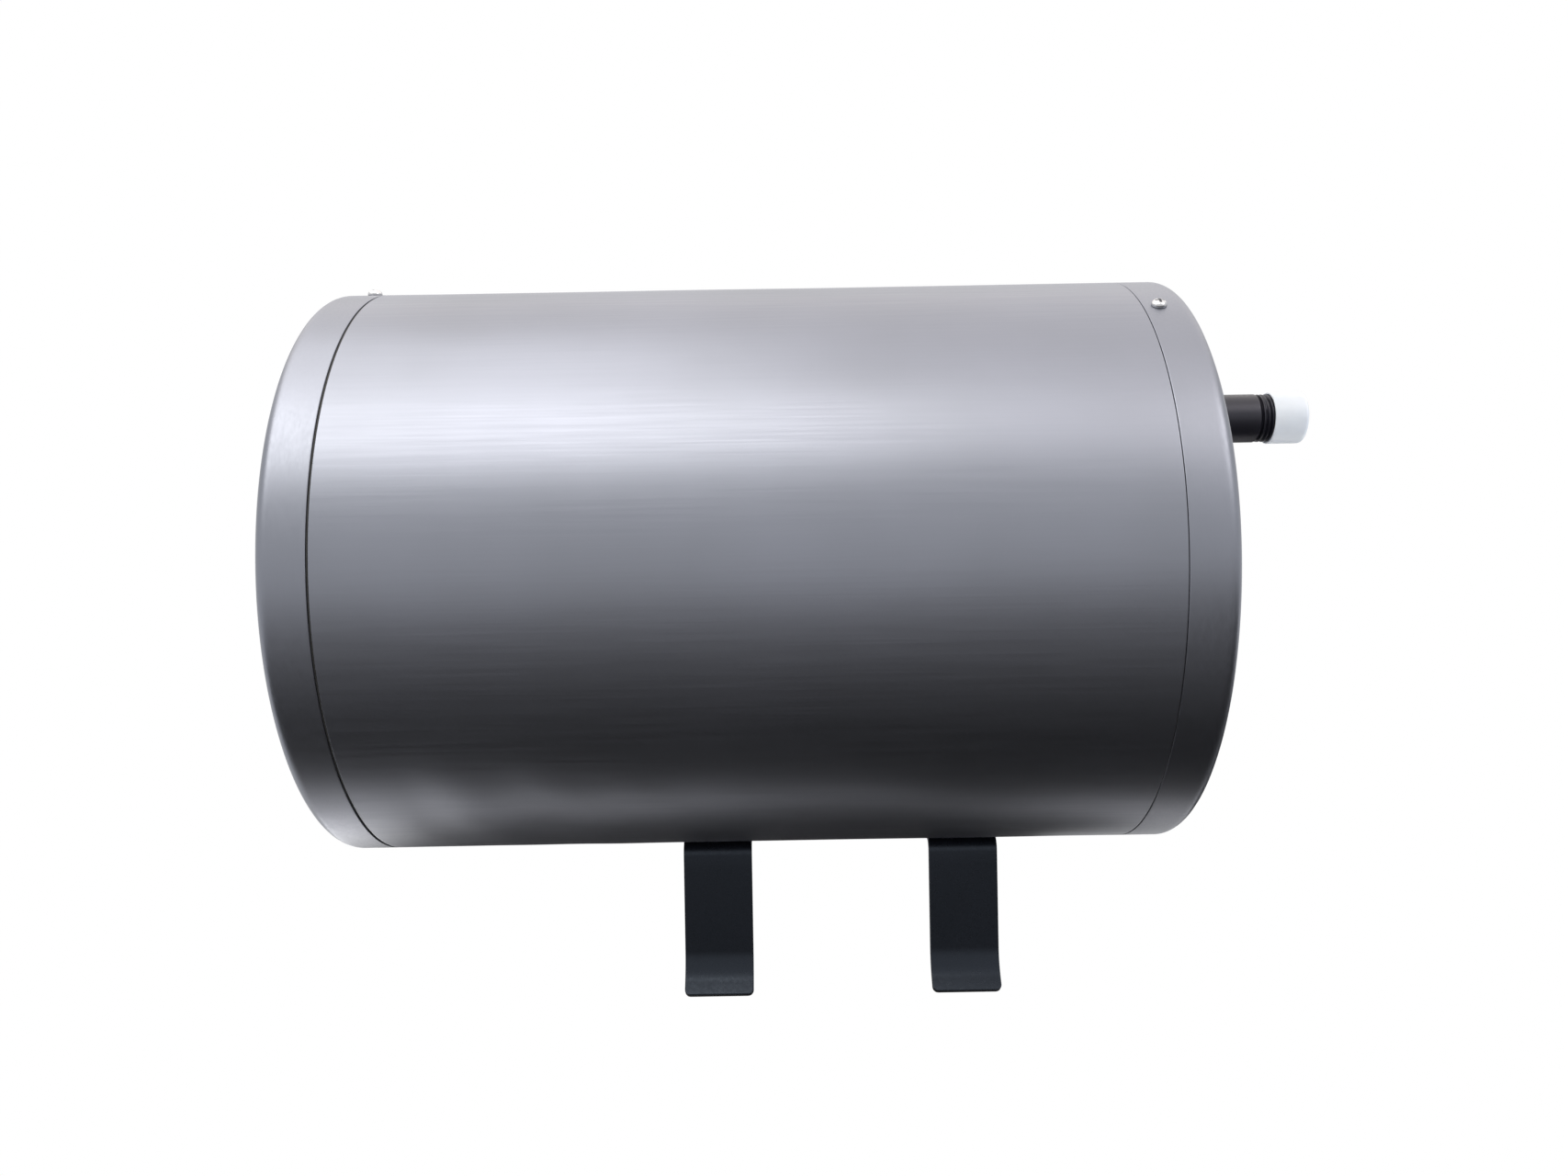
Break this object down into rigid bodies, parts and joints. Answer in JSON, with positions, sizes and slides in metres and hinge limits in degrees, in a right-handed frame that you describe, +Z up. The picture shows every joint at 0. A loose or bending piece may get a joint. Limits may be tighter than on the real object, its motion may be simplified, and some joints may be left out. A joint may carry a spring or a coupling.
{
  "type": "caravan water heater",
  "caption": "Horizontal cylindrical storage water heater for caravans, with pressed end caps, a foamed inner tank, threaded water pipes and bent straps that hang it on a wall.",
  "frame": {"origin": "midway between the two wall screw holes, on the wall face of the straps", "axes": "+X along the drum towards the water pipes, +Y into the wall, +Z up"},
  "size_m": [0.4432, 0.2431, 0.3367],
  "materials": {
    "casing_enamel": "satin gunmetal enamel on steel sheet",
    "strap_enamel": "semi-gloss black enamel on flat steel bar",
    "pipe_enamel": "semi-gloss black enamel on steel pipe",
    "zinc_steel": "bright zinc plating",
    "cover_polythene": "milky translucent polythene",
    "stainless_steel": "mill-finish stainless sheet",
    "black_rubber": "matte black rubber",
    "element_copper": "dull copper sheath",
    "terminal_ceramic": "white glazed ceramic",
    "thermostat_plastic": "off-white phenolic moulding",
    "dial_plastic": "red moulded plastic",
    "brass": "turned brass",
    "anode_magnesium": "dull cast magnesium",
    "foam": "pale yellow rigid foam",
    "gland_nylon": "black moulded nylon"
  },
  "bodies": {
    "heater": {"drum_shell": "casing_enamel", "joint_strip": "casing_enamel", "left_end_cap": "casing_enamel", "right_end_cap": "casing_enamel", "left_hanger_strap": "strap_enamel", "right_hanger_strap": "strap_enamel", "hot_outlet_pipe": "pipe_enamel", "cold_inlet_pipe": "pipe_enamel", "joint_rivet_set": "zinc_steel", "left_cap_screws": "zinc_steel", "right_cap_screws": "zinc_steel", "hanger_screws": "zinc_steel", "hanger_nuts": "zinc_steel", "flange_bolts": "zinc_steel", "anode_nut": "zinc_steel", "hot_pickup_tube": "stainless_steel", "cold_inlet_spreader": "stainless_steel", "tank_shell": "stainless_steel", "tank_left_head": "stainless_steel", "tank_right_head": "stainless_steel", "tank_neck": "stainless_steel", "flange_plate": "stainless_steel", "thermostat_pocket": "stainless_steel", "outlet_grommet": "black_rubber", "inlet_grommet": "black_rubber", "flange_gasket": "black_rubber", "cable_gland_seal": "black_rubber", "heating_element": "element_copper", "element_terminals": "terminal_ceramic", "thermostat_housing": "thermostat_plastic", "thermostat_rod": "brass", "earth_stud": "brass", "earth_nuts": "brass", "anode_rod": "anode_magnesium", "insulation_jacket": "foam", "insulation_left_ring": "foam", "insulation_right_disc": "foam", "cable_gland_body": "gland_nylon", "cable_gland_nut": "gland_nylon", "cable_gland_locknut": "gland_nylon"},
    "outlet_cover": {"hot_outlet_cover": "cover_polythene"},
    "dial": {"thermostat_dial": "dial_plastic"},
    "reset_button": {"thermostat_reset_button": "dial_plastic"}
  },
  "joints": [
    {"name": "outlet_cover_pull", "type": "slide", "parent": "heater", "child": "outlet_cover", "axis": [1, 0, 0], "range_m": [0, 0.03]},
    {"name": "thermostat_dial_turn", "type": "hinge", "parent": "heater", "child": "dial", "pos_m": [-0.2, -0.12315, -0.121], "axis": [-1, 0, 0], "range_deg": [-135, 135]},
    {"name": "reset_button_press", "type": "slide", "parent": "heater", "child": "reset_button", "axis": [1, 0, 0], "range_m": [0, 0.0015], "stiffness_N_per_m": 600, "springref_m": -0.001}
  ]
}
